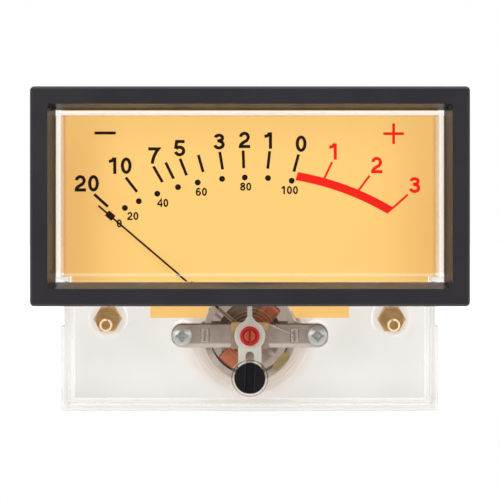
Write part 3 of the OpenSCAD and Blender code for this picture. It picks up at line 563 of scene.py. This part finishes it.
def digitStrokes(h):
    # centre lines of the strokes in a box of height 1, for a stroke of width 2 h; (points, closed)
    top = 1 - h
    neck = (0.35 + (0.33 - h) * 0.883, 0.665 - (0.335 - h) * 0.469)  # where the bow of the 2 ends
    return {
        "0": [(arc(0.33, 0.5, 0.33 - h, 0.5 - h, 0, 360, 36)[:-1], True)],
        "1": [([(0.365, 0), (0.365, 1)], False),
              (bend((0.0, 0.765), (0.17, 0.765), (0.27, 0.82), (0.31, 0.985)), False)],
        "2": [(arc(0.35, 0.665, 0.33 - h, 0.335 - h, 176, -28) +
               bend(neck, (0.50, 0.40), (0.10, 0.33), (h + 0.01, h)) + [(0.70, h)], False)],
        "3": [(arc(0.35, 0.735, 0.315 - h, 0.265 - h, 172, -90) + [(0.25, 0.54)], False),
              (arc(0.35, 0.54 - (0.305 - h), 0.35 - h, 0.305 - h, 90, -170), False)],
        "4": [([(0.54, 0), (0.54, 0.96), (0.075, 0.335)], False), ([(0.0, 0.30), (0.72, 0.30)], False)],
        "5": [([(0.66, top), (0.175, top), (0.105, 0.46)], False),
              (arc(0.35, 0.33, 0.35 - h, 0.33 - h, 148, -168), False)],
        "6": [(arc(0.35, 0.32, 0.345 - h, 0.32 - h, 0, 360, 30)[:-1], True),
              (arc(0.365, 0.52, 0.36 - h, 0.48 - h, 42, 196), False)],
        "7": [([(0.0, top), (0.62, top)] +
               bend((0.62, top), (0.45, 0.70), (0.28, 0.38), (0.245, 0.0))[1:], False)],
        "8": [(arc(0.35, 0.745, 0.315 - h, 0.255 - h, 0, 360, 28)[:-1], True),
              (arc(0.35, 0.295, 0.35 - h, 0.295 - h, 0, 360, 28)[:-1], True)],
    }


def ribbon(bm, points, width, front, back, closed=False):
    # a flat stroke of ink, with mitred corners and square ends
    count = len(points)
    left, right = [], []
    for i, p in enumerate(points):
        before = points[i - 1] if closed or i else None
        after = points[(i + 1) % count] if closed or i < count - 1 else None
        steps = [Vector((b[0] - a[0], b[1] - a[1])).normalized()
                 for a, b in ((before, p), (p, after)) if a and b and (b[0] - a[0], b[1] - a[1]) != (0, 0)]
        way = sum(steps, Vector((0, 0))).normalized()
        side = Vector((-way.y, way.x))
        reach = width / 2 / max(mitreLimit, abs(side.dot(Vector((-steps[0].y, steps[0].x)))))
        for row, sign in ((left, 1), (right, -1)):
            q = Vector(p) + side * reach * sign
            row.append([bm.verts.new(place(q.x, d, q.y)) for d in (front, back)])
    for i in range(count if closed else count - 1):
        k = (i + 1) % count
        bm.faces.new((left[i][0], right[i][0], right[k][0], left[k][0]))
        bm.faces.new((left[i][1], left[k][1], right[k][1], right[i][1]))
        bm.faces.new((left[i][0], left[k][0], left[k][1], left[i][1]))
        bm.faces.new((right[i][0], right[i][1], right[k][1], right[k][0]))
    if not closed:
        bm.faces.new((left[0][0], left[0][1], right[0][1], right[0][0]))
        bm.faces.new((left[-1][0], right[-1][0], right[-1][1], left[-1][1]))


def layNumber(bm, text, angle, radius, size):
    height, stroke = size["height"], size["stroke"]
    strokes = digitStrokes(stroke / 2)
    spots, x = [], 0.0
    for digit in text:
        spots.append(x + digitShift.get(digit, 0.0))
        x += size["step"]
    width = spots[-1] + digitWidth.get(text[-1], usualWidth) - spots[0]
    cx, cz = onArc(angle, radius)
    for digit, spot in zip(text, spots):
        for points, closed in strokes[digit]:
            laid = [(cx + (u + spot - spots[0] - width / 2) * height * size["wide"], cz + (v - 0.5) * height)
                    for u, v in points]
            ribbon(bm, laid, stroke * height, scaleSet["front"], scaleSet["back"], closed)


def barTree():
    # one bar on each point, turned, as long and as thick as the point's own attributes say
    tree = bpy.data.node_groups.new("scaleBars", "GeometryNodeTree")
    for label, kind in (("Geometry", "Geometry"), ("Ink Depth", "Float"), ("Round", "Bool"),
                        ("Ink", "Material")):
        tree.interface.new_socket(name=label, in_out="INPUT", socket_type="NodeSocket" + kind)
    tree.interface.new_socket(name="Geometry", in_out="OUTPUT", socket_type="NodeSocketGeometry")
    given, out = tree.nodes.new("NodeGroupInput"), tree.nodes.new("NodeGroupOutput")
    fields = {}
    for label in ("turn", "long", "thick"):
        node = tree.nodes.new("GeometryNodeInputNamedAttribute")
        node.data_type = "FLOAT"
        node.inputs["Name"].default_value = label
        fields[label] = node.outputs["Attribute"]
    cube = tree.nodes.new("GeometryNodeMeshCube")
    cube.inputs["Size"].default_value = (1, 1, 1)
    disc = tree.nodes.new("GeometryNodeMeshCylinder")
    disc.inputs["Vertices"].default_value = scaleSet["dotSides"]
    disc.inputs["Radius"].default_value = 0.5
    disc.inputs["Depth"].default_value = 1.0
    tip = tree.nodes.new("GeometryNodeTransform")
    tip.inputs["Rotation"].default_value = (math.radians(90), 0, 0)
    tree.links.new(disc.outputs["Mesh"], tip.inputs["Geometry"])
    shape = tree.nodes.new("GeometryNodeSwitch")
    shape.input_type = "GEOMETRY"
    tree.links.new(given.outputs["Round"], shape.inputs["Switch"])
    tree.links.new(cube.outputs["Mesh"], shape.inputs["False"])
    tree.links.new(tip.outputs["Geometry"], shape.inputs["True"])
    turn = tree.nodes.new("ShaderNodeCombineXYZ")
    tree.links.new(mathNode(tree, "MULTIPLY", fields["turn"], -1.0), turn.inputs["Y"])
    scale = tree.nodes.new("ShaderNodeCombineXYZ")
    tree.links.new(fields["long"], scale.inputs["X"])
    tree.links.new(given.outputs["Ink Depth"], scale.inputs["Y"])
    tree.links.new(fields["thick"], scale.inputs["Z"])
    spread = tree.nodes.new("GeometryNodeInstanceOnPoints")
    tree.links.new(given.outputs["Geometry"], spread.inputs["Points"])
    tree.links.new(shape.outputs[0], spread.inputs["Instance"])
    tree.links.new(turn.outputs[0], spread.inputs["Rotation"])
    tree.links.new(scale.outputs[0], spread.inputs["Scale"])
    real = tree.nodes.new("GeometryNodeRealizeInstances")
    tree.links.new(spread.outputs[0], real.inputs[0])
    ink = tree.nodes.new("GeometryNodeSetMaterial")
    tree.links.new(real.outputs[0], ink.inputs["Geometry"])
    tree.links.new(given.outputs["Ink"], ink.inputs["Material"])
    tree.links.new(ink.outputs[0], out.inputs[0])
    return tree


def runTree(tree, name, mesh, values):
    carrier = bpy.data.objects.new(name, mesh)
    bpy.context.scene.collection.objects.link(carrier)
    modifier = carrier.modifiers.new("nodes", "NODES")
    modifier.node_group = tree
    for item in tree.interface.items_tree:
        if item.item_type == "SOCKET" and item.in_out == "INPUT" and item.name in values:
            modifier[item.identifier] = values[item.name]
    carrier.update_tag()
    made = bpy.data.meshes.new_from_object(carrier.evaluated_get(bpy.context.evaluated_depsgraph_get()))
    bpy.data.objects.remove(carrier)
    return made


def markMesh(name, marks):
    # marks: (x, z, turn in degrees, length, thickness), in millimetres
    depth = (scaleSet["front"] + scaleSet["back"]) / 2
    mesh = bpy.data.meshes.new(name)
    mesh.from_pydata([place(m[0], depth, m[1]) for m in marks], [], [])
    columns = {"turn": [math.radians(m[2]) for m in marks], "long": [m[3] * mm for m in marks],
               "thick": [m[4] * mm for m in marks]}
    for label, values in columns.items():
        mesh.attributes.new(label, "FLOAT", "POINT").data.foreach_set("value", values)
    return mesh


def radialBar(angle, thick, inner=scaleSet["tickIn"], outer=scaleSet["tickOut"]):
    x0, z0 = onArc(angle, inner)
    x1, z1 = onArc(angle, outer)
    return ((x0 + x1) / 2, (z0 + z1) / 2, angle, math.hypot(x1 - x0, z1 - z0), thick)


inkSet = {"speck": 0.25, "roughness": (0.6, 0.75), "specular": 0.12}
# painted backlight: both inks glow by emission, as if lit through the film from behind
blackInkLook = {"dark": (0.006, 0.0025, 0.001), "light": (0.014, 0.006, 0.003),
                "glow": (1.0, 0.35, 0.08), "glowStrength": 0.009}
redInkLook = {"dark": (0.74, 0.012, 0.006), "light": (0.82, 0.016, 0.009),
              "glow": (1.0, 0.015, 0.006), "glowStrength": 0.42}


def inkMaterial(name, look):
    mat, tree, shader = newMaterial(name)
    speck = noise(tree, objectCoord(tree), inkSet["speck"], roughness=0.6)
    setInput(tree, shader.inputs["Base Color"], mixColour(tree, speck, look["dark"], look["light"]))
    setInput(tree, shader.inputs["Roughness"], mapRange(tree, speck, *noiseSpread, *inkSet["roughness"]))
    shader.inputs["Specular IOR Level"].default_value = inkSet["specular"]
    shader.inputs["Emission Color"].default_value = (*look["glow"], 1)
    shader.inputs["Emission Strength"].default_value = look["glowStrength"]
    return mat


blackInk = inkMaterial("blackInk", blackInkLook)
redInk = inkMaterial("redInk", redInkLook)
bars = barTree()
inkDepth = (scaleSet["back"] - scaleSet["front"]) * mm


def printPiece(name, ink, barMarks, dotMarks, drawFlat):
    bm = bmesh.new()
    for isRound, marks in ((False, barMarks), (True, dotMarks)):
        if marks:
            made = runTree(bars, name + "Marks", markMesh(name, marks),
                           {"Ink Depth": inkDepth, "Round": isRound, "Ink": ink})
            bm.from_mesh(made)
    drawFlat(bm)
    bmesh.ops.recalc_face_normals(bm, faces=bm.faces)
    piece = meshObject(name, bm)
    piece.data.materials.append(ink)
    for polygon in piece.data.polygons:
        polygon.material_index = 0
    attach(piece, "meter")
    return piece


def drawBlack(bm):
    for number in bigNumbers:
        layNumber(bm, *number, bigSet)
    for number in smallNumbers:
        layNumber(bm, *number, smallSet)


def drawRed(bm):
    for number in redNumbers:
        layNumber(bm, *number, bigSet)
    # the broad red arc
    rows = []
    for i in range(scaleSet["bandSteps"] + 1):
        angle = scaleSet["bandFrom"] + (scaleSet["bandTo"] - scaleSet["bandFrom"]) * i / scaleSet["bandSteps"]
        edges = (onArc(angle, scaleSet["bandIn"]), onArc(angle, scaleSet["bandOut"]))
        rows.append([bm.verts.new(place(x, d, z)) for x, z in edges
                     for d in (scaleSet["front"], scaleSet["back"])])
    for a, b in zip(rows, rows[1:]):
        bm.faces.new((a[0], a[2], b[2], b[0]))
        bm.faces.new((a[1], b[1], b[3], a[3]))
        bm.faces.new((a[2], a[3], b[3], b[2]))
        bm.faces.new((a[0], b[0], b[1], a[1]))
    for end in (rows[0], rows[-1]):
        bm.faces.new((end[0], end[1], end[3], end[2]))


def straightBar(sign, turn=0):
    return (sign["x"], sign["z"], turn, sign["long"], sign["thick"])


blackBars = [radialBar(a, scaleSet["tick"]) for a in blackTicks]
blackBars.append(straightBar(minusSign))
blackBars.append((*onArc(restMark["angle"], restMark["radius"]), restMark["angle"], restMark["long"],
                  restMark["thick"]))
dotMarks = [(*onArc(a, scaleSet["dotArc"]), 0, 2 * scaleSet["dotR"], 2 * scaleSet["dotR"])
            for a in percentDots]
redBars = [radialBar(a, scaleSet["redTick"]) for a in redTicks]
redBars.append(radialBar(endTick["angle"], scaleSet["redTick"], endTick["inner"], endTick["outer"]))
redBars += [straightBar(plusSign), straightBar(plusSign, 90)]

printPiece("dialPrintBlack", blackInk, blackBars, dotMarks, drawBlack)
printPiece("dialPrintRed", redInk, redBars, [], drawRed)
print("dial: film, ticks, dots and numbers")


# pointer and movement
# A look's shades are second tones, mostly painted shade and painted highlight: the axis they follow, where
# they start and end, colour, amount.

bridgeLook = {"dark": (0.46, 0.36, 0.30), "light": (0.60, 0.49, 0.42), "metallic": 0.65,
              "roughness": (0.46, 0.58), "line": 0.10, "stain": (0.40, 0.30, 0.25), "stainAmount": 0.5,
              "edge": 0.25,
              # painted shade along the top edge and painted highlight along the bottom edge
              "shades": (("Z", 19.05, 19.4, (0.11, 0.075, 0.055), 0.9),  # dark along the top
                         ("Z", 15.25, 14.75, (0.90, 0.84, 0.78), 0.75))}  # bright along the bottom
screwLook = {"dark": (0.56, 0.58, 0.56), "light": (0.74, 0.76, 0.74), "roughness": (0.40, 0.52),
             "line": 0.15, "edge": 0.1}
leverLook = {"dark": (0.90, 0.86, 0.77), "light": (0.97, 0.94, 0.86), "metallic": 0.3,
             "roughness": (0.45, 0.58), "line": 0.1, "edge": 0.08,
             # painted highlight on the top end of the stem
             "shades": (("Z", 22.1, 22.7, (1.0, 0.93, 0.86)),)}
ringLook = {"dark": (0.66, 0.56, 0.49), "light": (0.84, 0.74, 0.66), "metallic": 0.5,
            "roughness": (0.40, 0.55), "line": 0.14, "turn": (0, 0, 90), "stain": (0.45, 0.33, 0.25),
            # painted light: the upper part of the ring is made lighter
            "stainAmount": 0.4, "shades": (("Z", 17.5, 20.5, (1.0, 0.90, 0.80), 0.8),)}
turnedLook = {"dark": (0.56, 0.40, 0.16), "light": (0.70, 0.52, 0.24), "roughness": (0.18, 0.3), "line": 0.1}
bronzeLook = {"dark": (0.70, 0.45, 0.20), "light": (0.86, 0.60, 0.32), "metallic": 0.6,
              "roughness": (0.35, 0.48), "line": 0.08}
steelLook = {"dark": (0.50, 0.51, 0.52), "light": (0.66, 0.67, 0.68), "roughness": (0.2, 0.32), "line": 0.12}
tinLook = {"dark": (0.64, 0.62, 0.58), "light": (0.80, 0.78, 0.74), "roughness": (0.22, 0.38), "line": 0.3,
           "stain": (0.5, 0.48, 0.45), "stainAmount": 0.4}
magnetLook = {"dark": (0.58, 0.48, 0.42), "light": (0.72, 0.61, 0.55), "metallic": 0.5,
              "roughness": (0.45, 0.6), "line": 0.16}
# painted shade: the magnet turns dark over its upper half and brown towards its top
magnetPaintedShade = (("Z", 17.6, 19.4, (0.13, 0.08, 0.06), 0.9), ("Z", 20.3, 23.0, (0.40, 0.25, 0.17), 0.9))
giltLook = {"dark": (0.72, 0.52, 0.22), "light": (0.84, 0.65, 0.32), "roughness": (0.16, 0.26), "line": 0.1}
weightLook = {"dark": (0.52, 0.37, 0.14), "light": (0.74, 0.57, 0.27), "metallic": 0.8,
              "roughness": (0.30, 0.42), "line": 0.08, "edge": 0.5}
tintLook = {"dark": (0.66, 0.07, 0.035), "light": (0.82, 0.17, 0.08), "metallic": 0.3,
            "roughness": (0.3, 0.42), "line": 0.1, "edge": 0.06}
needleLook = {"dark": (0.030, 0.010, 0.003), "light": (0.052, 0.018, 0.006), "roughness": (0.6, 0.72),
              "grain": 0.12, "bump": 0.004, "specular": 0.04,
              "shades": (("axis", 9.8, 9.1, (0.36, 0.24, 0.17)),)}
fibreLook = {"dark": (0.66, 0.38, 0.12), "light": (0.84, 0.54, 0.22), "roughness": (0.5, 0.65),
             "grain": 0.10, "bump": 0.01, "edge": 0.05,
             "shades": (("Z", 18.5, 17.3, (0.44, 0.33, 0.26), 0.9),)}
lacquerLook = {"dark": (0.60, 0.012, 0.010), "light": (0.78, 0.028, 0.020), "roughness": (0.28, 0.42),
               "grain": 0.25, "bump": 0.006, "edge": 0.08}
adjusterLook = {"dark": (0.010, 0.010, 0.012), "light": (0.022, 0.021, 0.025), "roughness": (0.08, 0.16),
                "grain": 0.35, "bump": 0.004, "edge": 0.1}
jewelLook = {"dark": (0.5, 0.03, 0.06), "light": (0.65, 0.06, 0.1), "roughness": (0.05, 0.1),
             "grain": 0.3, "bump": 0.001}

dress(metal("dullNickel", bridgeLook), "front_bridge", "rear_bridge")
dress(metal("brightNickel", screwLook), "bridge_screws")
dress(metal("whiteNickel", leverLook), "zero_lever")
dress(metal("ringPlate", ringLook), "iron_ring")
dress(metal("turnedBrass", turnedLook),
      "pivot_bases", "spring_collets", "rear_lock_nut", "rear_jewel_screw", "core_supports")
dress(metal("springBronze", bronzeLook), "front_hairspring", "rear_hairspring", "contact_tag")
dress(metal("zincSteel", steelLook),
      "spring_washer", "adjuster_clip", "stud_washers", "rear_anchor", "pivots", "coil_former")
dress(metal("tinned", tinLook), "front_jumper", "solder_lugs")
dress(metal("groundMagnet", {**magnetLook, "shades": magnetPaintedShade}), "core_magnet")
dress(metal("crossMetal", magnetLook), "pointer_cross")
dress(metal("giltPins", giltLook), "lamp_pins")
dress(metal("weightBrass", weightLook), "balance_weight")
dress(metal("tintedScrew", tintLook), "front_jewel_screw")
dress(plastic("darkPaint", needleLook), "pointer_needle")
dress(plastic("tanFibre", fibreLook), "insulating_plate", "insulating_bush", "rear_insulator")
dress(plastic("redLacquer", lacquerLook), "front_lock_nut")
dress(plastic("adjusterBlack", adjusterLook), "zero_adjuster")
dress(plastic("jewelRed", jewelLook), "jewels")

windingLook = {"dark": (0.46, 0.10, 0.045), "light": (0.98, 0.36, 0.19), "toneSpread": (0.05, 0.6),
               "pitch": 0.09, "turn": 49.5, "uneven": 0.6, "cloud": 1.2, "metallic": 0.6,
               "roughness": (0.35, 0.5), "coat": 0.2, "bump": 0.03, "bumpStrength": 0.6}


def copperWinding():
    # enamelled wire, laid side by side across the coil
    mat, tree, shader = newMaterial("copperWire")
    coord = objectCoord(tree, turn=(0, windingLook["turn"], 0))
    wave = tree.nodes.new("ShaderNodeTexWave")
    wave.bands_direction = "Z"
    wave.inputs["Scale"].default_value = 1 / (windingLook["pitch"] * mm) / math.tau * 2
    wave.inputs["Distortion"].default_value = windingLook["uneven"]
    wave.inputs["Detail"].default_value = 1.0
    tree.links.new(coord, wave.inputs["Vector"])
    cloud = noise(tree, coord, windingLook["cloud"])
    tone = mapRange(tree, mathNode(tree, "MULTIPLY", wave.outputs["Fac"], cloud), *windingLook["toneSpread"])
    colour = mixColour(tree, tone, windingLook["dark"], windingLook["light"])
    setInput(tree, shader.inputs["Base Color"], colour)
    shader.inputs["Metallic"].default_value = windingLook["metallic"]
    roughness = mapRange(tree, cloud, *noiseSpread, *windingLook["roughness"])
    setInput(tree, shader.inputs["Roughness"], roughness)
    shader.inputs["Coat Weight"].default_value = windingLook["coat"]
    addBump(tree, shader, wave.outputs["Fac"], windingLook["bump"], windingLook["bumpStrength"])
    return mat


dress(copperWinding(), "coil_winding")
print("pointer and movement: finished")


# terminals, leads and lamps

sleeveLook = {"roughness": (0.28, 0.4), "grain": 0.4, "bump": 0.01}
whiteSleeve = {**sleeveLook, "dark": (0.72, 0.70, 0.66), "light": (0.84, 0.82, 0.78)}
creamSleeve = {**sleeveLook, "dark": (0.70, 0.60, 0.48), "light": (0.82, 0.73, 0.60)}
boardLook = {"dark": (0.80, 0.80, 0.77), "light": (0.88, 0.88, 0.86), "roughness": (0.3, 0.45),
             "grain": 0.3, "bump": 0.005}
lampLook = {"dark": (0.90, 0.78, 0.46), "light": (0.98, 0.88, 0.62), "roughness": (0.08, 0.16),
            "grain": 0.5, "bump": 0.002, "glow": (1.0, 0.70, 0.34), "glowStrength": 2.5}
chipLook = {"dark": (0.018, 0.018, 0.018), "light": (0.035, 0.035, 0.035), "roughness": (0.35, 0.5),
            "grain": 0.15, "bump": 0.004}
brassLook = {"dark": (0.60, 0.35, 0.14), "light": (0.84, 0.54, 0.25), "metallic": 0.7,
             "roughness": (0.38, 0.52), "line": 0.12, "stain": (0.36, 0.20, 0.08), "stainAmount": 0.5,
             "edge": 0.1}

dress(plastic("whiteSleeve", whiteSleeve), "left_lead")
dress(plastic("creamSleeve", creamSleeve), "right_lead")
dress(plastic("boardWhite", boardLook), "lamp_board")
dress(plastic("lampResin", lampLook), "lamp_domes")
dress(plastic("chipBlack", chipLook), "lamp_resistors")
dress(metal("studBrass", brassLook), "terminal_studs", "stud_nuts")
print("terminals, leads and lamps: finished")

scene = bpy.context.scene
scene.view_settings.view_transform = "Standard"
